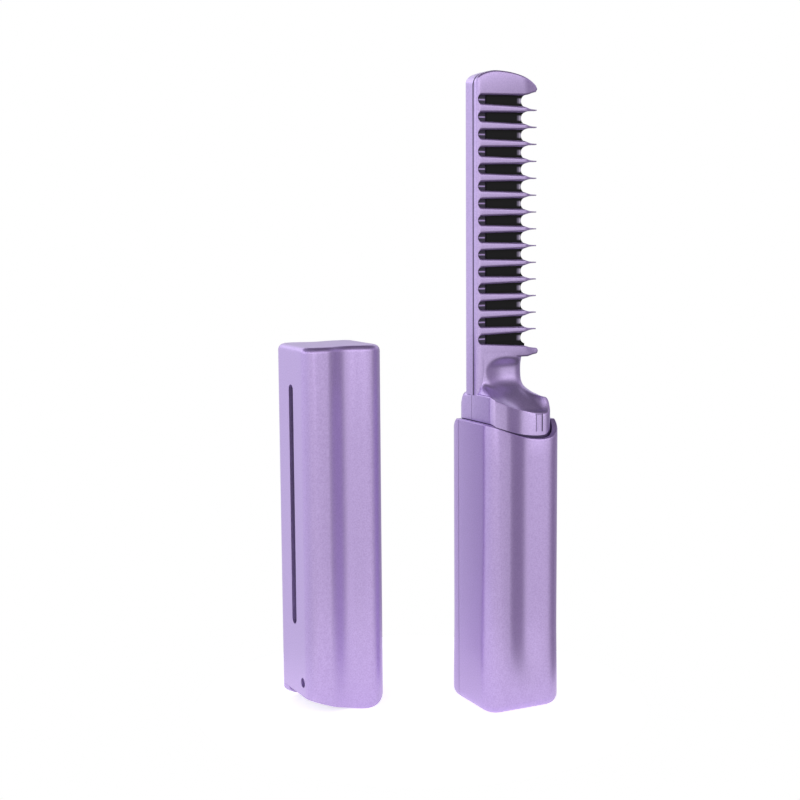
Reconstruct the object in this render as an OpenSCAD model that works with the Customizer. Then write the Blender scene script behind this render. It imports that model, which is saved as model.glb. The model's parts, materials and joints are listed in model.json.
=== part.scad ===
// Cordless heated comb with a pull-off cap.
// +Z is up and the handle stands on z = 0. The teeth point to -X, the comb's back to +X,
// the power button to -Y. The cap is off and stands beside the handle on its own rim.

/* [Body] */
// Width of the handle and cap, teeth side to spine side
body_w = 24.6; // [23:0.2:27]
// Depth of the handle and cap, button side to back
body_d = 24.4; // [23.4:0.2:27]
// Height of the handle's parting edge above its foot
handle_h = 82.5; // [80:0.5:90]
// How far the parting edge dips at its two low lobes
edge_dip = 4.8; // [3:0.2:5.6]
// Radius of the two tight corners
tight_r = 3.5; // [3.2:0.1:4]
// Radius of the two wide corners
wide_r = 5; // [4.4:0.1:5.6]
// Depth of the long hollow in the wide faces
groove_depth = 1.8; // [0.6:0.1:2]
// Thickness of the housing and cap walls
wall = 1.6; // [1.2:0.1:1.8]
// Radius round the foot of the handle
foot_r = 1.4; // [0.8:0.1:3]
// Radius round the closed end of the cap
cap_end_r = 1.8; // [1:0.1:2.5]
// Depth at which the handle's two shells part, from the middle
shell_seam_y = -5.3; // [-5.5:0.1:-5.1]

/* [Comb] */
// Number of gaps between teeth
gap_count = 15; // [11:1:15]
// Distance from one tooth to the next
tooth_pitch = 4.72; // [4.4:0.02:4.8]
// Height of the lowest gap above the parting edge
first_gap = 22.9; // [22:0.1:25]
// Height of a gap at its closed end
gap_h = 2.4; // [2:0.1:2.6]
// Height of a tooth at its tip
tooth_tip_h = 0.32; // [0.24:0.02:0.6]
// Distance of the comb's back from the middle of the handle
comb_half_w = 10.2; // [9.9:0.05:10.3]
// Radius of the long edges of the comb's back
spine_r = 1.5; // [0.8:0.1:1.6]
// Thickness of the comb's front half
comb_front_t = 4.2; // [4:0.1:5]
// Thickness of the comb's back half
comb_back_t = 3; // [2.8:0.1:4]
// Thickness of each heated plate
plate_t = 1.5; // [1.2:0.1:1.5]

/* [Controls] */
// Diameter of the power button
button_d = 9; // [8:0.1:9.2]
// Distance of the power button below the handle's parting edge
button_drop = 33.1; // [31.1:0.2:36.3]
// Travel of the power button
button_travel = 0.5; // [0.3:0.05:0.5]
// Gap round the power button
button_gap = 0.2; // [0.1:0.05:0.3]
// Diameter of an indicator light
light_d = 1.7; // [1.2:0.1:2]
// Distance between indicator lights
light_pitch = 4.8; // [4:0.1:5]

/* [Cap] */
// Height of the cap from its low lobes to its closed end
cap_h = 104.2; // [103:0.2:108]
// Width of the vent slot
slot_w = 3.2; // [2:0.1:3.6]
// Length of the vent slot
slot_len = 68.6; // [50:0.2:72]
// Where the loose cap stands, to the spine side of the handle
cap_stand_x = 45; // [40:1:60]
// Where the loose cap stands, to the back of the handle
cap_stand_y = -22; // [-30:1:-18]

/* [Hidden] */
$fn = 48;

purple = "#a98fd0";
black = "#17151a";
steel = "#b9bcc2";
board_green = "#1f5a3a";
film_amber = "#c77f2a";

half_w = body_w / 2;
half_d = body_d / 2;
arc_steps = 8;                  // straight facets in each rounded corner
flat_steps = 6;                 // parts of each narrow flat side
groove_steps = 8;               // facets in each flank of the long hollow
snug = 0.1;                     // clearance between fixed pieces
slide_gap = 0.3;                // clearance of the cap round the collar

// Long hollow of a wide face, measured on the button side
groove_start = -half_w + 6.2;   // edge of the near lobe
groove_low = 0.8;               // deepest line
groove_end = half_w - wide_r;   // where the far corner begins
far_setback = 0.4;              // the far corner lies this much further in
groove_fade = [5, 26];          // the hollow fades out between these heights

// Levels and planes of the comb head
foot_t = 1.8;                   // thickness of the handle's floor
collar_inset = wall + slide_gap;
collar_h = 7.6;                 // height of the collar above the parting edge
collar_wall = 1.2;
spigot_z = handle_h - 9;        // lower end of the collar inside the handle
ledge_h = 1;                    // shelf in the handle that the collar stands on
neck_z = handle_h + 11.2;       // top of the shoulder, foot of the neck
plate_foot_z = handle_h + 18;   // lower edge of the toothed head
comb_seam_y = -1.4;             // where the comb's two halves part
comb_front_y = comb_seam_y - comb_front_t;
comb_back_y = comb_seam_y + comb_back_t;
low_gap_z = handle_h + first_gap;
high_gap_z = low_gap_z + (gap_count - 1) * tooth_pitch;
crown_z = high_gap_z + 8;       // top of the comb head
tip_x = 0.3 - comb_half_w;
guard_reach = 0.5;              // the lower guard's nub stands out this much past the tips
gap_floor_x = comb_half_w - 0.7;    // closed end of each gap
gap_waist_x = -5.2;                 // from here the gaps open towards the tips
gap_waist_h = gap_h + 0.6;
flare_steps = 6;
flare_power = 2.4;              // over 1 gives the teeth their inward sweep
tooth_mid_y = -0.1;             // middle of the tips' depth
spine_foot_z = neck_z - 4;      // lower end of the spine, inside the shoulder

// Heated core, in a pocket between the comb's halves
film_t = 0.3;
strip_t = 0.9;
core_y = comb_seam_y - 0.65;                    // middle plane of the heater
core_half = strip_t / 2 + film_t;               // half of strip and films together
pocket_front_y = core_y - core_half - plate_t - snug;
pocket_back_y = core_y + core_half + plate_t + snug;
pocket_x = [-6.2, comb_half_w - 3.8];
pocket_z = [low_gap_z - 2.5, high_gap_z + 2.5];
scallop_r = 1.7;
web_half_t = 1.2;               // wall that closes the gaps' inner ends, each side of the seam
lead_r = 0.6;
lead_x = [2.4, 4.2];
duct_x = [-1.2, 5.2];                           // wire duct through the neck
duct_y = [-4.1, -0.8];

// Board and what sits on it
board_y = [-5.2, -4.2];
board_half_w = half_w - collar_inset - collar_wall - 0.8;
board_z = [foot_t + 1.2, handle_h - 6];
lead_joint_z = board_z[1] - 3;  // where the heater leads meet the board
fuse_pos = [0, -2, neck_z + 0.5];
sensor_pos = fuse_pos + [0, 0, 6];
screw_x = 3.4 - board_half_w;
screw_z = [14, handle_h - 25.5];
screw_r = 0.75;
boss_r = 2;
button_x = 5;
button_z = handle_h - button_drop;
button_back_y = -7.9;
button_ear = [3, 0.8, 0.7];     // width, reach and thickness of a retaining ear
switch_size = [6, 1.9, 6];
plunger_r = 1.2;
plunger_gap = 0.05;
light_x = 5.6;
top_light_z = spigot_z - 2.1;
led_t = 0.7;
led_half_w = 0.8;
chip_h = 5;
// Each chip's left side, height above the board's foot, width and thickness
chips = [[-2.5, 21, 5, 1], [-2.5, 29, 4, 0.9], [-6, board_z[1] - board_z[0] - 14.5, 5, 2]];

// Charging socket and cell
socket_size = [8.94, 3.26, 7.3];
socket_wall = 0.3;
socket_y = board_y[1] + socket_size[1] / 2;
socket_z = 0.4;
port_gap = 0.18;
pad_t = 0.8;
pad_inset = 6;                  // from the cell's ends
cell_y = [board_y[1] + 1.1, half_d - wall - groove_depth - pad_t - snug];
cell_half_w = half_w - wall - 1.6;
pad_w = cell_half_w;
cell_z = [9, handle_h - 20.5];
cell_r = 2.6;
cell_board = [2 * cell_half_w - 4.2, 8, 1];
cell_lead_x = [-5, -3];
cell_lead_y = -1.5;

// Snap between collar and cap
snap_y = -7.2;
snap_z = handle_h + 4.2;
snap_r = 1;
snap_hole_r = 1.4;
rib_x = [-6.4, -4.8];           // guide rib on the back of the collar
rib_z = handle_h - 3;
rib_h = 5.2;
rib_pride = 0.15;
slot_z = handle_h + 20;         // lower end of the vent slot, cap in place
slot_y = -1.5;
cap_top_z = handle_h - edge_dip + cap_h;

function ramp(v, span) = let (s = min(1, max(0, (v - span[0]) / (span[1] - span[0])))) s * s * (3 - 2 * s);
function arc(cx, cy, r, from) = [for (i = [0:arc_steps])
    let (a = from + 90 * i / arc_steps) [cx + r * cos(a), cy + r * sin(a)]];
function groove(x) = x <= groove_start ? 0
    : x <= groove_low
    ? groove_depth * (1 - cos(180 * (x - groove_start) / (groove_low - groove_start))) / 2
    : far_setback + (groove_depth - far_setback)
        * (1 + cos(180 * (x - groove_low) / (groove_end - groove_low))) / 2;
function flank(from, to) = [for (i = [1:groove_steps]) from + (to - from) * i / groove_steps];

// Half of the cross-section, inset from the outer skin, with the hollow at part depth
// and the narrow flat side in the given number of parts
function half_section(inset, depth, parts) = concat(
    arc(-half_w + tight_r, -half_d + tight_r, tight_r - inset, 180),
    [for (x = concat([groove_start], flank(groove_start, groove_low),
        [for (i = [1:groove_steps - 1]) groove_low + (groove_end - groove_low) * i / groove_steps]))
        [x, -half_d + depth * groove(x) + inset]],
    arc(groove_end, -half_d + depth * far_setback + wide_r, wide_r - inset, 270),
    [for (i = [1:1:parts - 1]) [half_w - inset,
        mixed(-half_d + depth * far_setback + wide_r, half_d - tight_r, i / parts)]]);
function section(inset = 0, depth = 1, parts = 1) = let (h = half_section(inset, depth, parts))
    concat(h, [for (p = h) -p]);

// The parting edge dips towards one end of each wide face
dip_rise = 1.3;
dip_fall = 0.55;
dip_peak = pow(dip_rise / (dip_rise + dip_fall), dip_rise)
    * pow(dip_fall / (dip_rise + dip_fall), dip_fall);
function edge_drop(p) = let (along = p[1] < 0 ? p[0] + half_w : half_w - p[0],
    u = min(1, max(0, along / body_w)))
    edge_dip * pow(u, dip_rise) * pow(1 - u, dip_fall) / dip_peak;
function edge_z(parts = 1) = [for (p = section(0, 1, parts)) handle_h - edge_drop(p)];

function at_z(outline, z) = [for (p = outline) [p[0], p[1], z]];
function at_edge(outline, lift, parts = 1) = let (z = edge_z(parts))
    [for (i = [0:len(outline) - 1]) [outline[i][0], outline[i][1], z[i] + lift]];
function scaled(outline, k) = [for (p = outline) p * k];
function mixed(a, b, s) = a + (b - a) * s;

// Closed solid through a stack of rings, bottom ring first
module ring_stack(rings) {
    n = len(rings[0]);
    last = (len(rings) - 1) * n;
    polyhedron(
        points = [for (r = rings) for (p = r) p],
        faces = concat(
            [[for (i = [0:n - 1]) i]],
            [for (k = [0:n:last - n]) for (i = [0:n - 1]) let (j = (i + 1) % n)
                each [[k + i, k + n + i, k + n + j], [k + i, k + n + j, k + j]]],
            [[for (i = [n - 1:-1:0]) last + i]]));
}

// Everything below the parting edge, moved up by lift
module below_edge(lift = 0) {
    wide = scaled(section(), 1.2);
    ring_stack([at_z(wide, -10), at_edge(wide, lift), at_edge(scaled(section(), 0.5), lift),
        at_z(scaled(section(), 0.05), handle_h - edge_dip / 2 + lift)]);
}

// Outer skin of the handle, rounded at the foot, hollows fading out above it
module handle_skin() {
    fillet_steps = 5;
    fade_steps = 6;
    ring_stack(concat(
        [for (i = [0:fillet_steps]) let (a = 90 * i / fillet_steps)
            at_z(section(foot_r * (1 - sin(a)), 0), foot_r * (1 - cos(a)))],
        [for (i = [1:fade_steps]) let (z = mixed(groove_fade[0], groove_fade[1], i / fade_steps))
            at_z(section(0, ramp(z, groove_fade)), z)],
        [at_z(section(), handle_h + 2)]));
}

module cavity(from, to, inset = wall) {
    translate([0, 0, from]) linear_extrude(to - from) polygon(section(inset));
}

// Rounded flat shape of the charging socket, seen from below
module socket_oval(grow) {
    r = socket_size[1] / 2 + grow;
    reach = socket_size[0] / 2 - socket_size[1] / 2;
    square([2 * reach, 2 * r], center = true);
    for (x = [-reach, reach]) translate([x, 0]) circle(r);
}

// Cylinder along +Y
module along_y(x, z, r, from, to) {
    translate([x, from, z]) rotate([-90, 0, 0]) cylinder(r = r, h = to - from);
}

// Everything in front of (or behind) the handle's seam
module handle_half(front) {
    far = 30;
    translate([-far, front ? -far : shell_seam_y, -far])
        cube([2 * far, front ? far + shell_seam_y : far, 6 * far]);
}

module shell_blank(front) {
    intersection() {
        difference() {
            union() {
                difference() {
                    handle_skin();
                    cavity(foot_t, handle_h + 5);
                }
                difference() {
                    cavity(spigot_z - ledge_h, spigot_z, wall - 0.2);
                    cavity(spigot_z - ledge_h - 1, spigot_z + 1, wall + 1.4);
                }
            }
            translate([0, socket_y, -1]) linear_extrude(foot_t + 2) socket_oval(port_gap);
        }
        below_edge();
        handle_half(front);
    }
}

module front_shell() {
    color(purple) difference() {
        union() {
            shell_blank(true);
            for (z = screw_z) along_y(screw_x, z, boss_r, -half_d + 1, board_y[0]);
        }
        for (z = screw_z) along_y(screw_x, z, screw_r + 0.05, board_y[0] - 3.4, board_y[0] + 1);
        along_y(button_x, button_z, button_d / 2 + button_gap, -half_d - 1, board_y[0] - 0.5);
        for (i = [0:2]) along_y(light_x, top_light_z - i * light_pitch, light_d / 2 + 0.05,
            -half_d - 1, board_y[0] - 0.5);
    }
}

module back_shell() {
    color(purple) shell_blank(false);
}

// Outline of the neck, one point for each point of the collar
neck_x = [-7.1, comb_half_w - 0.06];
neck_mid = [(neck_x[0] + neck_x[1]) / 2, (comb_front_y + comb_back_y) / 2];
neck_half = [(neck_x[1] - neck_x[0]) / 2, 3.55];
neck_power = 0.85;               // under 1 squares the oval off
function signed_pow(v) = sign(v) * pow(abs(v), neck_power);
function neck_outline() = [for (p = section(collar_inset, 1, flat_steps))
    let (a = atan2((p[1] - neck_mid[1]) / neck_half[1], (p[0] - neck_mid[0]) / neck_half[0]))
    [neck_mid[0] + neck_half[0] * signed_pow(cos(a)), neck_mid[1] + neck_half[1] * signed_pow(sin(a))]];

// Shallow scoop in each wide face of the neck
dish_at = [0.5, neck_z + 2];
dish_half = [6.2, 4.7];
dish_depth = [0.7, 1.2];        // front and back
module neck_dish(side) {
    way = 2 * side - 1;
    face = neck_mid[1] + way * neck_half[1];
    steps = 5;
    ring_stack([for (i = [0:steps + 1]) let (a = 90 * min(i, steps) / steps,
        grow = i > steps ? 1.1 : max(0.1, sin(a)),
        y = face - way * (dish_depth[side] * cos(a) - (i > steps ? 3 : 0)))
        [for (k = [0:23]) let (t = way * 15 * k)
            [dish_at[0] + dish_half[0] * grow * sin(t), y, dish_at[1] + dish_half[1] * grow * cos(t)]]]);
}

// How far the shoulder falls off towards the corner below the teeth
corner_drop = 1.4;
function shoulder_drop() = [for (p = section(0, 1, flat_steps))
    corner_drop * ramp((half_w - p[0]) / body_w, [0.72, 0.98]) * ramp(p[1], [0.5, 7])];

// Collar, shoulder and neck as one skin
module collar_and_neck() {
    collar = section(collar_inset, 1, flat_steps);
    lip = section(collar_inset + 0.5, 1, flat_steps);
    edge = edge_z(flat_steps);
    neck = neck_outline();
    shoulder_steps = 6;
    drop = shoulder_drop();
    ring_stack(concat(
        [at_z(collar, spigot_z - 1)],
        [[for (k = [0:len(collar) - 1]) [collar[k][0], collar[k][1], edge[k] + collar_h - 0.4 - drop[k]]]],
        [for (i = [0:shoulder_steps]) let (s = i / shoulder_steps)
            [for (k = [0:len(lip) - 1]) [
                mixed(lip[k][0], neck[k][0], sin(90 * s)),
                mixed(lip[k][1], neck[k][1], sin(90 * s)),
                mixed(edge[k] + collar_h - drop[k], neck_z, pow(s, 1.6))]]],
        [at_z(neck, plate_foot_z + 1)]));
}

// Outline of the toothed head, drawn in X and Z
crown_corner = 3.6;             // radius of the crown at the back of the comb
crown_peak_x = comb_half_w - 6.6;
crown_half = [14, 5.8];         // half sizes of the crown's long curve
function head_outline() = concat(
    [[comb_half_w, spine_foot_z]],
    [for (i = [0:5]) let (a = 75 * i / 5)
        [comb_half_w - crown_corner * (1 - cos(a)), crown_z - 4.3 + crown_corner * sin(a)]],
    [for (i = [1:2]) [crown_peak_x + 3.9 * (1 - i / 3), crown_z - 0.8 * pow(1 - i / 3, 2)]],
    [for (i = [0:9]) let (a = 90 + 72 * i / 9)
        [crown_peak_x + crown_half[0] * cos(a), crown_z - crown_half[1] * (1 - sin(a))]],
    [[tip_x, crown_z - 4.5], [tip_x + 0.2, crown_z - 5.2], [tip_x + 1.4, crown_z - 5.6],
        [tip_x + 3, crown_z - 6.1], [tip_x + 3.8, crown_z - 8],
        [tip_x + 3.8, low_gap_z - 1], [tip_x + 2, low_gap_z - 2.5], [tip_x + 0.4, low_gap_z - 2.8],
        [tip_x - guard_reach + 0.5, low_gap_z - 3.1], [tip_x - guard_reach, low_gap_z - 3.6],
        [tip_x - guard_reach, low_gap_z - 4.2], [tip_x - guard_reach + 0.5, low_gap_z - 4.8],
        [tip_x + 0.4, low_gap_z - 4.9], [neck_x[0] + 0.3, plate_foot_z - 0.5],
        [comb_half_w - 5, plate_foot_z - 0.5], [comb_half_w - 3.6, plate_foot_z - 1.2],
        [comb_half_w - 3, plate_foot_z - 2.6],
        [comb_half_w - 3, spine_foot_z]]);

// One tooth's outer end, sweeping in from its root to a fine tip
module tooth_end(z) {
    root_half = (tooth_pitch - gap_waist_h) / 2;
    tip_half = tooth_tip_h / 2;
    reach = gap_waist_x - tip_x;
    upper = concat([[gap_waist_x + 1, root_half]], [for (i = [0:flare_steps]) let (s = i / flare_steps)
        [gap_waist_x - reach * s, tip_half + (root_half - tip_half) * pow(1 - s, flare_power)]]);
    polygon(concat([for (p = upper) [p[0], z + p[1]]],
        [for (i = [len(upper) - 1:-1:0]) [upper[i][0], z - upper[i][1]]]));
}

// Depth of the teeth seen from above, drawn in towards their tips
module teeth_plan() {
    polygon([[gap_waist_x + 1.2, comb_front_y], [gap_waist_x - 0.5, comb_front_y],
        [gap_waist_x - 1.7, mixed(comb_front_y, tooth_mid_y, 0.25)], [tip_x - 0.1, tooth_mid_y - 1.7],
        [tip_x - 0.1, tooth_mid_y + 0.8], [gap_waist_x - 1.7, mixed(comb_back_y, tooth_mid_y, 0.25)],
        [gap_waist_x - 0.5, comb_back_y], [gap_waist_x + 1.2, comb_back_y]]);
}

// One gap's inner part, round at its closed end
module gap_shape(z) {
    polygon([[gap_floor_x - gap_h / 2, z - gap_h / 2], [gap_waist_x, z - gap_waist_h / 2],
        [tip_x - 1, z - gap_waist_h / 2], [tip_x - 1, z + gap_waist_h / 2],
        [gap_waist_x, z + gap_waist_h / 2], [gap_floor_x - gap_h / 2, z + gap_h / 2]]);
    translate([gap_floor_x - gap_h / 2, z]) circle(gap_h / 2);
}

module head_flat() {
    difference() {
        polygon(head_outline());
        for (i = [0:gap_count - 1]) gap_shape(low_gap_z + i * tooth_pitch);
    }
}

module teeth_flat() {
    for (i = [0:gap_count - 2]) tooth_end(low_gap_z + (i + 0.5) * tooth_pitch);
}

// Depth of the head seen from above, with rounded long edges at the back of the comb
module head_plan() {
    reach = spine_r * 4;
    depth = comb_back_y - comb_front_y;
    translate([-reach - comb_half_w, comb_front_y]) square([reach + 2 * comb_half_w - spine_r, depth]);
    translate([comb_half_w - 2 * spine_r, comb_front_y + spine_r])
        square([2 * spine_r, comb_back_y - comb_front_y - 2 * spine_r]);
    for (y = [comb_front_y + spine_r, comb_back_y - spine_r])
        translate([comb_half_w - spine_r, y]) circle(spine_r);
}

// Extrude a flat X and Z drawing between two depths
module between_y(from, to) {
    translate([0, to, 0]) rotate([90, 0, 0]) linear_extrude(to - from) children();
}

module comb_half_space(front) {
    far = 40;
    translate([-far, front ? -far : comb_seam_y, spigot_z])
        cube([2 * far, front ? far + comb_seam_y : far, 6 * far]);
}

module comb_frame(front) {
    intersection() {
        difference() {
            union() {
                collar_and_neck();
                intersection() {
                    between_y(comb_front_y, comb_back_y) head_flat();
                    translate([0, 0, spigot_z]) linear_extrude(crown_z) head_plan();
                }
                intersection() {
                    between_y(comb_front_y, comb_back_y) teeth_flat();
                    translate([0, 0, spigot_z]) linear_extrude(crown_z) teeth_plan();
                }
                translate([pocket_x[1] - 0.5, comb_seam_y - web_half_t, pocket_z[0] + 0.5])
                    cube([gap_floor_x - pocket_x[1] + 0.7, 2 * web_half_t, pocket_z[1] - pocket_z[0] - 1]);
                for (side = [-1, 1]) translate([side * (half_w - collar_inset - 0.5), snap_y, snap_z])
                    rotate([0, side * 90, 0]) cylinder(r1 = snap_r, r2 = snap_r - 0.3, h = 1.2);
                intersection() {
                    cavity(rib_z, rib_z + rib_h, collar_inset - rib_pride);
                    translate([rib_x[0], 0, rib_z]) cube([rib_x[1] - rib_x[0], half_d, rib_h]);
                }
            }
            cavity(spigot_z - 2, handle_h - 0.5, collar_inset + collar_wall);
            neck_dish(front ? 0 : 1);
            translate([duct_x[0], duct_y[0], handle_h - 1])
                cube([duct_x[1] - duct_x[0], duct_y[1] - duct_y[0], pocket_z[0] - handle_h + 2]);
            translate([pocket_x[0], pocket_front_y, pocket_z[0]])
                cube([pocket_x[1] - pocket_x[0], pocket_back_y - pocket_front_y, pocket_z[1] - pocket_z[0]]);
        }
        comb_half_space(front);
    }
}

module comb_front_frame() {
    color(purple) comb_frame(true);
}

module comb_back_frame() {
    color(purple) comb_frame(false);
}

// Heated plate with a scallop in its edge at every gap
module heat_plate(from) {
    between_y(from, from + plate_t) difference() {
        translate([pocket_x[0] + snug, pocket_z[0] + snug])
            square([pocket_x[1] - pocket_x[0] - 2 * snug, pocket_z[1] - pocket_z[0] - 2 * snug]);
        for (i = [0:gap_count - 1])
            translate([pocket_x[0] - 0.3, low_gap_z + i * tooth_pitch]) circle(scallop_r);
    }
}

module heat_plate_front() {
    color(black) heat_plate(core_y - core_half - plate_t);
}

module heat_plate_back() {
    color(black) heat_plate(core_y + core_half);
}

strip_x = [-3.2, pocket_x[1] - 1];
strip_z = [pocket_z[0] + 0.6, pocket_z[1] - 1];

module heater_strip() {
    color("white") translate([strip_x[0], core_y - strip_t / 2, strip_z[0]])
        cube([strip_x[1] - strip_x[0], strip_t, strip_z[1] - strip_z[0]]);
}

module heater_films() {
    color(film_amber) for (y = [core_y - core_half, core_y + strip_t / 2])
        translate([strip_x[0] - 0.4, y, strip_z[0]])
            cube([strip_x[1] - strip_x[0] + 0.8, film_t, strip_z[1] - strip_z[0] + 0.4]);
}

module thermal_fuse() {
    color("silver") translate(fuse_pos) cylinder(r = 0.8, h = 5);
}

module temperature_sensor() {
    color("darkred") translate(sensor_pos) {
        cylinder(r = 0.6, h = 2);
        translate([0, 0, 2]) sphere(0.7);
    }
}

// Wire through a list of points, with a ball at each square bend
module wire(points) {
    for (i = [0:len(points) - 2]) {
        run = points[i + 1] - points[i];
        translate(points[i])
            rotate([0, acos(run[2] / norm(run)), atan2(run[1], run[0])]) cylinder(r = lead_r, h = norm(run));
    }
    for (i = [1:1:len(points) - 2]) translate(points[i]) sphere(lead_r);
}

module heater_leads() {
    color("firebrick") for (x = lead_x)
        wire([[x, board_y[1], lead_joint_z], [x, core_y, lead_joint_z], [x, core_y, strip_z[0]]]);
}

module main_board() {
    color(board_green) difference() {
        translate([-board_half_w, board_y[0], board_z[0]])
            cube([2 * board_half_w, board_y[1] - board_y[0], board_z[1] - board_z[0]]);
        for (z = screw_z) along_y(screw_x, z, screw_r + 0.1, board_y[0] - 1, board_y[1] + 1);
    }
}

module board_chips() {
    color(black) {
        for (c = chips) translate([c[0], board_y[0] - c[3], board_z[0] + c[1]]) cube([c[2], c[3], chip_h]);
    }
}

module board_screws() {
    color(steel) for (z = screw_z) {
        along_y(screw_x, z, 1.4, board_y[1], board_y[1] + 0.8);
        along_y(screw_x, z, screw_r, board_y[0] - 3.2, board_y[1]);
    }
}

module indicator_leds() {
    color("white") for (i = [0:2])
        translate([light_x - led_half_w, board_y[0] - led_t, top_light_z - i * light_pitch - led_half_w / 2])
            cube([2 * led_half_w, led_t, led_half_w]);
}

module light_pipes() {
    color(black) for (i = [0:2]) along_y(light_x, top_light_z - i * light_pitch, light_d / 2,
        -half_d + groove(light_x) + 0.1, board_y[0] - led_t - 0.2);
}

module switch_body() {
    color("dimgray") difference() {
        translate([button_x, board_y[0] - switch_size[1] / 2, button_z]) cube(switch_size, center = true);
        along_y(button_x, button_z, plunger_r + plunger_gap,
            board_y[0] - switch_size[1] - 1, board_y[0] - 0.7);
    }
}

module switch_plunger() {
    color("ivory") along_y(button_x, button_z, plunger_r, button_back_y, board_y[0] - 0.8 - button_travel);
}

module power_button() {
    color(purple) {
        intersection() {
            along_y(button_x, button_z, button_d / 2, -half_d - 1, button_back_y);
            translate([0, 0.12, button_z - button_d]) linear_extrude(2 * button_d) polygon(section());
        }
        for (side = [-1, 1])
            translate([button_x - button_ear[0] / 2, button_back_y - button_ear[2],
                button_z + side * (button_d / 2 + button_ear[1] / 2 - 0.3) - button_ear[1] / 2 - 0.3])
                cube([button_ear[0], button_ear[2], button_ear[1] + 0.6]);
    }
}

module usb_socket_shell() {
    color(steel) translate([0, socket_y, socket_z]) difference() {
        linear_extrude(socket_size[2]) socket_oval(0);
        translate([0, 0, -1]) linear_extrude(socket_size[2]) socket_oval(-socket_wall);
    }
}

module usb_socket_tongue() {
    color(black) translate([-3.3, socket_y - 0.35, socket_z + 0.8])
        cube([6.6, 0.7, socket_size[2] - 1.8]);
}

// Block with rounded upright corners
module rounded_block(x, y, z, r) {
    for (grow = [[r, 0], [0, r]])
        translate([x[0] + grow[0], y[0] + grow[1], z[0]])
            cube([x[1] - x[0] - 2 * grow[0], y[1] - y[0] - 2 * grow[1], z[1] - z[0]]);
    for (cx = [x[0] + r, x[1] - r]) for (cy = [y[0] + r, y[1] - r])
        translate([cx, cy, z[0]]) cylinder(r = r, h = z[1] - z[0]);
}

module battery_cell() {
    color("steelblue") rounded_block([-cell_half_w, cell_half_w], cell_y, cell_z, cell_r);
}

module battery_pad() {
    color("gray") translate([-pad_w / 2, cell_y[1], cell_z[0] + pad_inset])
        cube([pad_w, pad_t, cell_z[1] - cell_z[0] - 2 * pad_inset]);
}

module cell_board() {
    color(board_green) translate([-cell_board[0] / 2, cell_y[0] + 0.6, cell_z[1]])
        cube([cell_board[0], cell_board[1], cell_board[2]]);
}

module battery_leads() {
    color("firebrick") for (x = cell_lead_x)
        wire([[x, cell_lead_y, cell_z[1] + cell_board[2]], [x, cell_lead_y, cell_z[1] + 3],
            [x, board_y[1], cell_z[1] + 3]]);
}

// The cap as it sits on the handle
module cap_in_place() {
    end_steps = 4;
    difference() {
        ring_stack(concat(
            [at_z(section(), handle_h - edge_dip - 2)],
            [for (i = [0:end_steps]) let (a = 90 * i / end_steps)
                at_z(section(cap_end_r * (1 - cos(a))), cap_top_z - cap_end_r * (1 - sin(a)))]));
        cavity(handle_h - edge_dip - 3, cap_top_z - wall);
        below_edge();
        for (side = [-1, 1]) translate([0, snap_y, snap_z]) rotate([0, side * 90, 0])
            cylinder(r = snap_hole_r, h = half_w + 1);
        translate([0, slot_y, slot_z + slot_w / 2]) rotate([0, -90, 0]) {
            cylinder(d = slot_w, h = half_w + 1);
            translate([slot_len - slot_w, 0, 0]) cylinder(d = slot_w, h = half_w + 1);
            translate([0, -slot_w / 2, 0]) cube([slot_len - slot_w, slot_w, half_w + 1]);
        }
    }
}

// Off the comb, half a turn round, standing on its low lobes
module cap_shell() {
    color(purple) translate([cap_stand_x, cap_stand_y, edge_dip - handle_h])
        rotate([0, 0, 180]) cap_in_place();
}

front_shell();
back_shell();
comb_front_frame();
comb_back_frame();
heat_plate_front();
heat_plate_back();
heater_strip();
heater_films();
thermal_fuse();
temperature_sensor();
heater_leads();
main_board();
board_chips();
board_screws();
indicator_leds();
light_pipes();
switch_body();
switch_plunger();
power_button();
usb_socket_shell();
usb_socket_tongue();
battery_cell();
battery_pad();
cell_board();
battery_leads();
cap_shell();
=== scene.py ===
# Look of the cordless heated comb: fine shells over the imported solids, finishes, light and camera.
import json
import math

import bmesh
import bpy
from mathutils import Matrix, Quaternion, Vector


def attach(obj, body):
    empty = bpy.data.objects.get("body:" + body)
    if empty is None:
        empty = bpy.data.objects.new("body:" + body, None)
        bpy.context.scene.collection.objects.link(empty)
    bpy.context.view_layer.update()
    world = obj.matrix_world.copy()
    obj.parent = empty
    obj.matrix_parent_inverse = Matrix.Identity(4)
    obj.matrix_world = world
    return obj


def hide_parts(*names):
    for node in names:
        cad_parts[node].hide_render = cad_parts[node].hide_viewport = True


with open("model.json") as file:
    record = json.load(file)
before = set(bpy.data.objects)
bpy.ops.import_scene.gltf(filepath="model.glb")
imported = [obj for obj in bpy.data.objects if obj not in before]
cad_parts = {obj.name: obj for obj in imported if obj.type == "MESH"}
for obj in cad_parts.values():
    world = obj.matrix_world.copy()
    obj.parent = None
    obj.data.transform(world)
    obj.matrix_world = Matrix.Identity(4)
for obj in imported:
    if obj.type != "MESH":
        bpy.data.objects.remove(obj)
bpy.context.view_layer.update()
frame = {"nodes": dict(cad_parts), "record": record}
nodes = frame["nodes"]
MM = 0.001

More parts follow.
